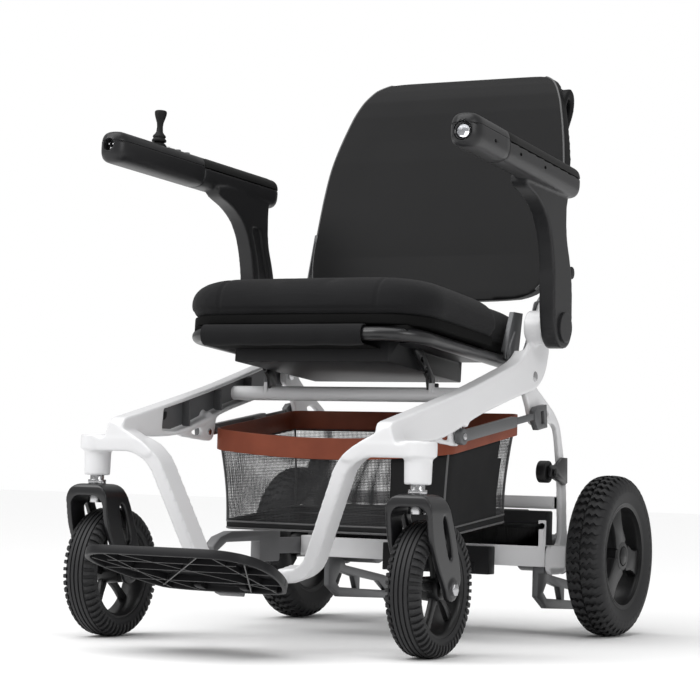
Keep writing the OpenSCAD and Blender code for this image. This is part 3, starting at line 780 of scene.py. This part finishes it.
def makeRims():
    c = rearWheel["centre"]
    ring = lathe([(-25, 84.2), (-25, 80), (-22, 77), (15, 76), (22, 78), (24.5, 80), (25.5, 84.2)], c, 96)
    lip = lathe([(19, 76.5), (24.5, 77.5), (25, 80), (22, 81), (19, 80)], c, 96)
    hub = lathe([(-25, 3), (-25, 24), (8, 26), (19, 25), (22, 22), (22.5, 16), (20.5, 15), (20.5, 3)], c,
        64)
    cap = lathe([(20, 0.05), (20, 14), (23, 14), (24.5, 12), (25.2, 0.05)], c, 48)
    shaft = lathe([(-93, 0.05), (-93, 10), (-20, 10), (-20, 0.05)], c, 40)
    arms = ringOf(spoke(14, 79, 22, 15, 4, 19, 3), rearWheel["spokes"], 0.35, c, "wheelPlastic")
    left = joined("rearRimLeft", [crisp(o, 35) for o in (ring, lip, hub, cap, shaft)] + [arms])
    placePair(left, "wheelPlastic", "rear_wheel_left", ["rear_rim_left"])
    c = casterWheel["centre"]
    ring = lathe([(-20, 67.2), (-20, 64), (-16, 61), (13, 60), (18, 62), (19.6, 64), (20, 67.2)], c, 96)
    hub = lathe([(-20, 6.3), (-20, 15), (0, 17), (16, 17), (19, 15), (19.6, 12), (19.6, 6.3)], c, 56)
    arms = ringOf(spoke(12, 63, 7, 4.5, 3, 12, 2), casterWheel["spokes"], 0.2, c, "wheelPlastic")
    left = joined("casterRimLeft", [crisp(o, 35) for o in (ring, hub)] + [arms])
    placePair(left, "wheelPlastic", "caster_wheel_left", ["caster_rim_left"])


forkShape = {
    "side": [(-335, 224), (-338, 205), (-330, 160), (-308, 122), (-284, 92), (-278, 80), (-266, 77),
        (-253, 81), (-248, 92), (-238, 105), (-248, 140), (-266, 182), (-280, 206), (-284, 224)],
    "slot": [(-303, 191), (-289, 195), (-265, 138), (-279, 131)],
}


def makeForks():
    x0 = 259.4
    arch = prism([(x0 - 35, 70), (x0 - 35, 199)] + arc(x0 - 12, 199, 23, 180, 90, 8)
        + arc(x0 + 12, 199, 23, 90, 0, 8) + [(x0 + 35, 70), (x0 + 27, 70), (x0 + 27, 190)]
        + arc(x0 + 12, 190, 15, 0, 90, 6) + arc(x0 - 12, 190, 15, 90, 180, 6) + [(x0 - 27, 70)], -360, -220,
        "y")
    side = prism(softLoop(forkShape["side"], 2, 0.2), 200, 320)
    keepInside(arch, side)
    slotCut = prism(softLoop(forkShape["slot"], 2, 0.22), 190, 330)
    cutAway(arch, [slotCut])
    boss = [rodX(x0 - 39, x0 - 26.8, 13, -266.3, 94), rodX(x0 + 26.8, x0 + 37, 13, -266.3, 94)]
    body = cast("forkBody", [arch] + boss, 1.5, 5, 0.5)
    nut = prism(circle(-266.3, 94, 9, 6), x0 + 35, x0 + 41, "x")
    nut2 = prism(circle(-266.3, 94, 9, 6), x0 - 41, x0 - 35, "x")
    axle = rodX(x0 - 38, x0 + 38, 6, -266.3, 94)
    for o in (nut, nut2, axle):
        paint(o, "steel")
        bevelled(o, 0.7)
    body.data.materials.clear()
    paint(body, "blackTube")
    left = joined("forkLeft", [body, nut, nut2, axle])
    placePair(left, None, "caster_fork_left", ["fork_left"])


for wheel in (rearWheel, casterWheel):
    makeTyre(wheel)
makeRims()
makeForks()
print("wheels made")

# arms
armPose = Matrix.Translation((0.267, 0.157, 0.700)) @ Matrix.Rotation(radians(3.14), 4,
    "Z") @ Matrix.Rotation(radians(-3.14), 4, "X")


armShape = {
    "half": 23.0, "height": 24.0, "square": 2.9, "nose": -401.0, "stickY": -297, "tail": 0.0,
    "post": [(114, 462), (106, 500), (104, 540), (103, 565), (95, 598), (84, 624), (66, 646), (36, 664),
        (-10, 678), (-12, 696), (150, 690), (146, 662), (149, 615), (166, 575), (174, 545), (177, 500),
        (176, 462)],
    "recess": [(124, 520), (123, 560), (112, 600), (92, 640), (122, 640), (134, 602), (152, 560),
        (154, 520)],
    "stick": [(-4, 0.05), (-4, 4.5), (8.5, 4.5), (8.5, 12.2), (11, 10.2), (13.5, 6.5), (14, 9.8),
        (15, 11.2), (17, 11.4), (20, 9.0), (20.5, 9.0), (22, 10.2), (24, 9.8), (27, 7), (30, 5.2),
        (38, 4.6), (44, 5.2), (50, 7.2), (56, 9.0), (60, 9.4), (62, 9.0), (63, 7.6), (62.2, 5),
        (61.8, 0.05)],
}


def armLoft(y0, y1):
    # rounded tube along the arm, with a blunt dome at an end that reaches past the nose or the tail
    a = armShape
    n = 56
    stations = []
    domeSteps = (0.985, 0.95, 0.88, 0.77, 0.62, 0.45, 0.25)
    for t in domeSteps:
        if y0 < a["nose"]:
            stations.append((a["nose"] - a["half"] * t, sqrt(1 - t * t), (1 - t ** 3) ** 0.42))
    lo, hi = max(y0, a["nose"]), min(y1, a["tail"])
    stations += [(lo + (hi - lo) * k / 8, 1.0, 1.0) for k in range(9)]
    for t in reversed(domeSteps):
        if y1 > a["tail"]:
            stations.append((a["tail"] + a["half"] * t, sqrt(1 - t * t), (1 - t ** 3) ** 0.42))
    verts = []
    power = 2 / a["square"]
    for y, w, h in stations:
        for k in range(n):
            s = 2 * pi * k / n
            c, d = cos(s), sin(s)
            verts.append((a["half"] * w * copysign(abs(c) ** power, c), y, a["height"] * h
                * copysign(abs(d) ** power, d)))
    faces = gridFaces(len(stations), n)
    faces.append(list(range(n)))
    faces.append([(len(stations) - 1) * n + k for k in range(n)])
    return solid("armLoft", verts, faces)


def screwWell(y):
    # oval recess in the outer side of an arm
    turns = [t * pi / 8 for t in range(16)]
    return prism([(y + 4.6 * cos(t), 2.6 * sin(t) - 5) for t in turns], 17, 30)


def splitLine(y1, pivotY, scaleY):
    # thin band between the upper and lower shell of an arm
    line = joined("line", [box((-40, -440, 7.6), (40, y1, 8.4))])
    inner = armLoft(-440, y1 + (6 if y1 < -250 else 12))
    out = Matrix.Translation((0, -pivotY, 0)) @ Matrix.Diagonal((0.955, scaleY, 0.955,
        1)) @ Matrix.Translation((0, pivotY, 0))
    shift(inner, out)
    return cutAway(line, [inner])


def makeArms():
    for side, name, split in ((1, "Left", -297), (-1, "Right", -202)):
        tube = keepInside(armLoft(split + 0.5, 40), box((-60, -500, -60), (60, 100, 6)))
        shift(tube, armPose)
        post = prism(softLoop(armShape["post"], 2, 0.2), 250, 276)
        pivot = rodX(250, 276, 32.5, *armPivot)
        recess = prism(softLoop(armShape["recess"], 2, 0.2), 240, 253)
        cutAway(post, [recess])
        arm = cast("arm" + name, [tube, post, pivot], 1.9, 9, 0.5)
        wells = [shift(screwWell(y), armPose) for y in (-252, -150)]
        cutAway(arm, [rodX(240, 281, 8.1, *armPivot)] + wells)
        cap = lathe([(276, 0.05), (276, 23), (279.4, 23), (280, 22), (280, 0.05)], (0, *armPivot), 56)
        crisp(cap, 30)
        arm = joined("arm" + name, [arm, cap])
        pad = keepInside(armLoft(split + 0.5, 40), box((-60, -500, 6.8), (60, 100, 60)))
        grooves = [box((x - 0.7, split + 14, 22.4), (x + 0.7, -6, 30)) for x in (-11, -5.5, 0, 5.5, 11)]
        cutAway(pad, grooves)
        bevelled(pad, 0.8, 2, 40)
        shift(pad, armPose)
        if side < 0:
            for o in (arm, pad):
                shift(o, Matrix.Scale(-1, 4, (1, 0, 0)))
        key = name.lower()
        place(arm, "armPlastic", "arm_" + key + "_body", ["arm_" + key])
        place(pad, "softPad", "arm_" + key + "_body", ["arm_pad_" + key])


def makeArmCap():
    cap = armLoft(-440, -297.6)
    line = splitLine(-296, 0.356, 0.985)
    cutAway(cap, [prism(circle(0, -3, 13.6, 24), -440, -411, "y"), screwWell(-352)])
    cutAway(cap, [line])
    bevelled(cap, 0.5, 2, 40)
    shift(cap, armPose)
    place(cap, "armPlastic", "arm_left_body", ["arm_cap_left"])
    seat = armPose @ Matrix.Translation((0, -0.411, -0.003)) @ Matrix.Rotation(radians(90), 4, "X")
    bezel = crisp(lathe([(0, 9.2), (0, 13.4), (6.5, 13.4), (8, 12.4), (5, 9.2)], (0, 0, 0), 48, "z"), 40)
    place(shift(bezel, seat), "blackTube", "arm_left_body", ())
    lens = crisp(lathe([(2.5, 0.05), (2.5, 9), (6.5, 9), (8.5, 7), (9.6, 4), (9.9, 0.05)], (0, 0, 0), 48,
        "z"), 40)
    place(shift(lens, seat), "lensGlass", "arm_left_body", ["lens_left"])
    bowl = crisp(lathe([(1.6, 0.05), (1.6, 4), (2.2, 8.6), (1, 9), (0.4, 9), (0.4, 0.05)], (0, 0, 0), 40,
        "z"), 40)
    place(shift(bowl, seat), "reflector", "arm_left_body", ())


def makeModule():
    m = armLoft(-440, -202.6)
    line = splitLine(-202, 0.31, 0.99)
    mouth = lathe([(21, 0.05), (21, 16), (26, 20), (26, 0.05)], (0, armShape["stickY"], 0), 40, "z")
    cuts = [prism(circle(0, armShape["stickY"], 16, 24), -3, 40, "z"), mouth,
        prism(circle(0, -246, 4.8, 12), 14, 40, "z"), prism(circle(0, -222, 4.8, 12), 14, 40, "z"),
        prism(circle(0, 2, 9.5, 24), -440, -409.5, "y")]
    cuts += [screwWell(y) for y in (-350, -252)]
    for c in cuts:
        cutAway(m, [c])
    cutAway(m, [line])
    bevelled(m, 0.5, 2, 40)
    paint(m, "armPlastic")
    parts = [m]
    for t in range(3):
        pin = prism(circle(4.2 * cos(t * 2.094 + 0.52), 2 + 4.2 * sin(t * 2.094 + 0.52), 1.2, 12), -416,
            -409, "y")
        paint(pin, "steel")
        parts.append(pin)
    m = joined("controlModule", parts)
    shift(m, Matrix.Scale(-1, 4, (1, 0, 0)) @ armPose)
    place(m, None, "arm_right_body", ["control_module"])
    stick = lathe(armShape["stick"], (0, 0, 0), 56, "z")
    crisp(stick, 40)
    shift(stick, Matrix.Scale(-1, 4, (1, 0, 0)) @ armPose @ Matrix.Translation((0, armShape["stickY"]
        * 0.001, 0.015)))
    place(stick, "softPad", "joystick_stick", ["joystick_stick"])


makeArms()
makeArmCap()
makeModule()
print("arms made")

# back
backShape = {
    "front": [(212, 524), (221, 552), (254, 658), (287, 765), (300, 800), (318, 845), (332, 872),
        (348, 893), (364, 905), (380, 910)],
    "rear": [(384, 901), (372, 892), (358, 877), (346, 856), (327, 800), (314, 757), (281, 650), (249, 545),
        (240, 524)],
    "outline": [(150, 524), (190, 534), (209, 556), (217, 596), (217, 660), (216, 705), (213, 748),
        (206, 786), (197, 822), (187, 855), (176, 878), (162, 896), (142, 906), (112, 910)],
    "voxel": 2.6,
    "grip": [(322, 800), (317, 757), (331, 772), (357, 815), (377, 845), (378, 874), (362, 884),
        (340, 870)],
    "gripHole": [(335, 800), (335, 790), (346, 812), (364, 846), (364, 862), (352, 864), (344, 848)],
}


def frontY(z):
    line = backShape["front"]
    for (y0, z0), (y1, z1) in zip(line, line[1:]):
        if z <= z1:
            return y0 + (y1 - y0) * (z - z0) / (z1 - z0)
    return line[-1][0]


def makeBack():
    b = backShape
    half = b["outline"]
    loop = softLoop(half + [(-x, z) for x, z in reversed(half)], 2, 0.22)
    shell = prism(b["front"] + b["rear"], -230, 230)
    keepInside(shell, prism(loop, 150, 450, "y"))
    grip = prism(softLoop(b["grip"], 2, 0.2), 176, 189)
    cutAway(grip, [prism(softLoop(b["gripHole"], 2, 0.2), 170, 200)])
    grip2 = mirrorOf(grip, "grip2")
    back = cast("backShell", [shell, grip, grip2], b["voxel"], 7, 0.5)
    # a slight hollow across the middle, where the fabric is stretched between its side rims
    for v in back.data.vertices:
        x, y, z = v.co * 1000
        if y < frontY(z) + 12:
            v.co.y += 0.006 * max(0, 1 - (x / 205) ** 2) * min(1, max(0, (z - 540) / 60)) * min(1,
                max(0, (880 - z) / 80))
    paint(back, "backSkin")
    path = []
    for x, z in loop:
        if z > 540:
            path.append((x * 0.992, frontY(z) + 1.6, z - (2.0 if z > 905 else 0)))
    first = max(range(len(path)), key=lambda i: dist(path[i], path[i - 1]))
    path = path[first:] + path[:first]
    edge = tube(path, 1.7, "backPiping")
    paint(edge, "piping")
    place(joined("backShell", [back, edge]), None, "backrest", ["back_shell"])


makeBack()
print("back made")

# seat
seatPose = Matrix.Translation((0, 0, 0.431)) @ Matrix.Rotation(radians(-4.3), 4, "X")
cushionShape = {
    "half": 211, "rearHalf": 187, "front": -208, "corner": 70, "voxel": 5.0, "pressure": 4.0, "cap": 6.0, "frames": 20,
    "rings": [(0.45, 28), (0.8, 28), (0.94, 28.5), (0.975, 31), (0.99, 35), (1.0, 42), (1.0, 52),
        (0.99, 61), (0.965, 69), (0.925, 75), (0.86, 79), (0.76, 82), (0.6, 84), (0.3, 85)],
}


def cushionLoop():
    c = cushionShape
    h, r, f = c["half"], c["corner"], c["front"]
    half = [(x, f - 3 * (1 - (x / 140) ** 2)) for x in range(0, 140, 12)]
    half += arc(h - r, f + r, r, -88, 0, 12)
    half += [(h, y) for y in range(-120, 50, 14)]
    half += [(h - 2, 50), (h - 12, 58), (c["rearHalf"] + 3, 66), (c["rearHalf"], 76)]
    half += [(c["rearHalf"], y) for y in range(90, 184, 14)]
    half += arc(c["rearHalf"] - 20, 186, 20, 0, 90, 5)
    half += [(x, 206) for x in range(150, 0, -14)]
    return half + [(-x, y) for x, y in reversed(half[1:])]


def cushionBody():
    loop = cushionLoop()
    n = len(loop)
    rings = cushionShape["rings"]
    verts = []
    for k, z in rings:
        for x, y in loop:
            verts.append((x * k, (y + 2) * k - 2, z))
    faces = gridFaces(len(rings), n)
    verts += [(0, -2, 28), (0, -2, 85.5)]
    for j in range(n):
        m = (j + 1) % n
        faces.append([m, j, len(verts) - 2])
        faces.append([(len(rings) - 1) * n + j, (len(rings) - 1) * n + m, len(verts) - 1])
    return solid("cushionBody", verts, faces)


def puff(o, settings):
    modify(o, "REMESH", mode="VOXEL", voxel_size=settings["voxel"] * 0.001)
    bake(o)
    start = [v.co.copy() for v in o.data.vertices]
    cloth = o.modifiers.new("cloth", "CLOTH")
    cloth.settings.use_pressure = True
    cloth.settings.uniform_pressure_force = settings["pressure"]
    cloth.settings.effector_weights.gravity = 0
    cloth.settings.tension_stiffness = 20
    cloth.settings.compression_stiffness = 20
    cloth.settings.bending_stiffness = 2
    scene = bpy.context.scene
    scene.frame_start = 1
    scene.frame_end = settings["frames"]
    for f in range(1, settings["frames"] + 1):
        scene.frame_set(f)
    bake(o)
    scene.frame_set(1)
    cap = settings["cap"] * 0.001
    for v, s in zip(o.data.vertices, start):
        move = v.co - s
        if move.length > cap:
            v.co = s + move.normalized() * cap
    modify(o, "SMOOTH", iterations=6, factor=0.5)
    modify(o, "SUBSURF", levels=1, render_levels=1)
    return smoothFaces(bake(o))


def makeCushion():
    o = puff(cushionBody(), cushionShape)
    normals = [v.normal.copy() for v in o.data.vertices]
    for v, n in zip(o.data.vertices, normals):
        x, y, z = v.co * 1000
        v.co.z = max(v.co.z, 0.0265)
        depth = 0
        if z > 33 and y < -120:
            depth = max(depth, 1.8 * (1 - min(abs(abs(x) - 130) / 4.5, 1)))
        if n.z < 0.5 and z > 30:
            depth = max(depth, 1.4 * (1 - min(abs(z - 37) / 3.5, 1)))
        v.co -= n * depth * 0.001
    o.name = "seatCushion"
    o.data.materials.clear()
    paint(o, "knit")
    loop = [(x * 0.955, (y + 2) * 0.95 - 2) for x, y in cushionLoop()]
    base = bevelled(prism(loop, 14.3, 29, "z"), 2.5, 3)
    paint(base, "underCloth")
    both = joined("seatCushion", [o, base])
    shift(both, seatPose)
    place(both, None, "chassis", ["seat_cushion"])


def makeSling():
    # the sheet between the tubes, and its front hem wrapped over the front tube
    sheet = bevelled(box((-177, -190, 3), (177, 140, 13.8)), 1.5)
    paint(sheet, "underCloth")
    parts = [sheet]
    rows, columns = 18, 28
    verts, faces = [], []
    for layer in (13.6, 12.0):
        for i in range(columns + 1):
            x = -150 + 265 * i / columns
            for k in range(rows + 1):
                t = radians(78 + 190 * k / rows)
                sag = 1.0 + 0.10 * sin(k / rows * pi) + 0.03 * sin(x * 0.09) * k / rows
                verts.append((x, -201 + layer * sag * cos(t), layer * sag * sin(t)
                    * (1.25 if sin(t) < 0 else 1)))
    row = rows + 1
    count = row * (columns + 1)
    for i in range(columns):
        for k in range(rows):
            a = i * row + k
            faces.append([a, a + 1, a + row + 1, a + row])
            faces.append([count + a, count + a + row, count + a + row + 1, count + a + 1])
    rim = [i * row for i in range(columns + 1)] + [columns * row + k for k in range(1, row)] + [i * row
        + rows for i in range(columns - 1, -1, -1)] + [k for k in range(rows - 1, 0, -1)]
    for k, a in enumerate(rim):
        b = rim[(k + 1) % len(rim)]
        faces.append([a, b, count + b, count + a])
    hem = crisp(solid("hem", verts, faces), 50)
    paint(hem, "knit")
    under = bevelled(box((-150, -200, -15.6), (115, -146, -14)), 0.5)
    paint(under, "underCloth")
    parts += [hem, under]
    o = joined("seatSling", parts)
    shift(o, seatPose)
    place(o, None, "chassis", ["seat_sling"])


makeCushion()
makeSling()
print("seat made")

# footplate
footPose = Matrix.Translation((0, -0.322, 0.097)) @ Matrix.Rotation(radians(-16.4), 4, "X")


footplateShape = {
    "outline": [(92, -37), (112, -70), (127, -112), (135, -150), (136.5, -172), (133, -195), (122, -214),
        (104, -226.5), (80, -232)],
    "ribs": [((-84, -44), (-84, -226)), ((84, -44), (84, -226)), ((-128, -150), (128, -150)),
        ((-40, -40), (-118, -200)), ((40, -40), (118, -200)), ((-120, -92), (120, -92)),
        ((-100, -190), (100, -190)), ((-60, -225), (90, -60)), ((60, -225), (-90, -60))],
}


def makeFootplate():
    halfOutline = footplateShape["outline"]
    outline = halfOutline + [(-x, y) for x, y in reversed(halfOutline)]
    loop = softLoop(outline, 2, 0.2)
    plate = prism(loop, -29.5, -17.5, "z")
    inner = [(x * 0.955, -135 + (y + 135) * 0.94) for x, y in loop]
    cutAway(plate, [prism(inner, -40, -20.5, "z")])
    bevelled(plate, 1.6, 3, 35)
    paint(plate, "blackPlastic")
    parts = [plate]
    for (x0, y0), (x1, y1) in footplateShape["ribs"]:
        d = Vector((x1 - x0, y1 - y0)).normalized()
        n = Vector((-d.y, d.x)) * 0.9
        foot = [(x0 + n.x, y0 + n.y), (x1 + n.x, y1 + n.y), (x1 - n.x, y1 - n.y), (x0 - n.x, y0 - n.y)]
        web = prism(foot, -28.4, -19, "z")
        paint(web, "blackPlastic")
        # the lighter strip along each rib's lower edge is a painted highlight
        edge = prism(foot, -29.0, -28.4, "z")
        paint(edge, "ribEdgeHighlight")
        parts += [web, edge]
    for side in (1, -1):
        ear = prism(softLoop([(-8, -9), (-60, -20), (-60, -28), (-37, -28), (3, -9), (9, 0), (5, 8),
            (-5, 8)], 1, 0.2), 30, 42)
        cutAway(ear, [rodX(20, 50, 5.05, 0, 0)])
        bevelled(ear, 1.0)
        paint(ear, "blackPlastic")
        if side < 0:
            shift(ear, Matrix.Scale(-1, 4, (1, 0, 0)))
        parts.append(ear)
    tab = bevelled(box((-20, -39, -31), (20, -22, -24)), 1.5)
    paint(tab, "greyPlastic")
    parts.append(tab)
    o = joined("footplate", parts)
    shift(o, footPose)
    place(o, None, "footplate", ["footplate"])


makeFootplate()
print("footplate made")

# basket
basketShape = {"half": 201, "front": -86, "back": 161, "corner": 16}


def basketLoop(half, front, back, corner, n=6, rows=14):
    pts = []
    for cxx, cyy, a0 in ((half - corner, back - corner, 0), (-half + corner, back - corner, 90),
            (-half + corner, front + corner, 180), (half - corner, front + corner, 270)):
        for k in range(n + 1):
            t = radians(a0 + 90 * k / n)
            pts.append((cxx + corner * cos(t), cyy + corner * sin(t)))
        nxt = {0: (-1, 0), 90: (0, -1), 180: (1, 0), 270: (0, 1)}[a0]
        length = (2 * (half - corner)) if nxt[0] else (back - front - 2 * corner)
        x, y = pts[-1]
        for k in range(1, rows):
            pts.append((x + nxt[0] * length * k / rows, y + nxt[1] * length * k / rows))
    return pts


def bandHeight(x, y):
    z = 293 + (y + 87) * 0.1453
    if y < -60:
        z -= 11 * (1 - min(abs(x) / 195, 1) ** 2)
    return z


def makeBand():
    b = basketShape
    outer = basketLoop(b["half"], b["front"], b["back"], b["corner"])
    verts = []
    cy = (b["front"] + b["back"]) / 2
    for x, y in outer:
        ix, iy = x * 0.9885, cy + (y - cy) * 0.98
        bulge = -2.5 * (1 - min(abs(x) / 190, 1) ** 2) if y < -60 else 0
        h = bandHeight(x, y)
        for px, py, dz in ((x, y + bulge, -16), (x, y + bulge, -15), (x, y + bulge, 0), (x, y + bulge, 15),
                (x, y + bulge, 16), (ix, iy + bulge, 16), (ix, iy + bulge, -16)):
            verts.append((px, py, h + dz))
    o = solid("basketBand", verts, gridFaces(len(outer), 7, True))
    bevelled(o, 0.6, 2, 50)
    place(o, "leather", "chassis", ["basket_band"])


def makeBag():
    b = basketShape
    levels = 12
    top = basketLoop(197, -81, 156, 18)
    rows = []
    for level in range(levels + 1):
        k = level / levels
        ring = []
        for x, y in top:
            zt = bandHeight(x, y) - 12
            zb = 160 + (y + 66) * 0.09
            z = zt + (zb - zt) * k
            scale = 1 - 0.05 * k
            cy = 38
            px = x * scale
            py = cy + (y - cy) * (1 - 0.07 * k)
            fold = 1.8 * sin(k * pi) * noise.noise(Vector((x * 0.03, y * 0.03, z * 0.012)))
            away = Vector((px, (py - cy) * 1.5)).normalized()
            pinch = -3.5 * sin(k * pi)
            ring.append((px + away.x * (fold + pinch), py + away.y * (fold + pinch), z))
        rows.append(ring)
    n = len(top)

    def strip(first, last, name, floor=False):
        verts = [p for r in rows[first:last + 1] for p in r]
        faces = gridFaces(last - first + 1, n)
        if floor:
            base = (last - first) * n
            verts.append((0, 38, 168))
            for j in range(n):
                faces.append([base + j, base + (j + 1) % n, len(verts) - 1])
        o = solid(name, verts, faces, merge=False)
        flat = o.data.uv_layers.new(name="flat")
        around = [0.0]
        for j in range(n):
            a, c = top[j], top[(j + 1) % n]
            around.append(around[-1] + dist(a, c) * 0.001)
        for f in o.data.polygons:
            marks = [o.data.loops[k].vertex_index % n for k in f.loop_indices]
            wraps = (n - 1) in marks and 0 in marks
            for k, mark in zip(f.loop_indices, marks):
                height = o.data.vertices[o.data.loops[k].vertex_index].co.z
                flat.data[k].uv = (around[n] if wraps and mark == 0 else around[mark], height)
        modify(o, "SOLIDIFY", thickness=0.0011, offset=1)
        return smoothFaces(bake(o))

    mesh = strip(0, levels - 1, "basketMesh")
    panel = strip(levels - 1, levels, "basketPanel", True)
    paint(mesh, "meshCloth")
    paint(mesh, "bagPanel")
    for f in mesh.data.polygons:
        x, y = f.center.x * 1000, f.center.y * 1000
        if (x > 150 and y < 100) or (x > 95 and y < -55):
            f.material_index = 1
    paint(panel, "bagPanel")
    parts = [mesh, panel]
    for level in (levels - 1, levels):
        seam = tube(rows[level], 1.8, "seam", True)
        paint(seam, "piping")
        parts.append(seam)
    corners = [j for j, (x, y) in enumerate(top) if abs(abs(x) - 191.7) < 1.5 and (y < -70 or y > 145)]
    for j in corners:
        post = tube([rows[k][j] for k in range(levels)], 2.0, "post")
        paint(post, "piping")
        parts.append(post)
    o = joined("basketBag", parts)
    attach(o, "chassis")
    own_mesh(o)
    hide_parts("basket_bag")


makeBand()
makeBag()
print("basket made")
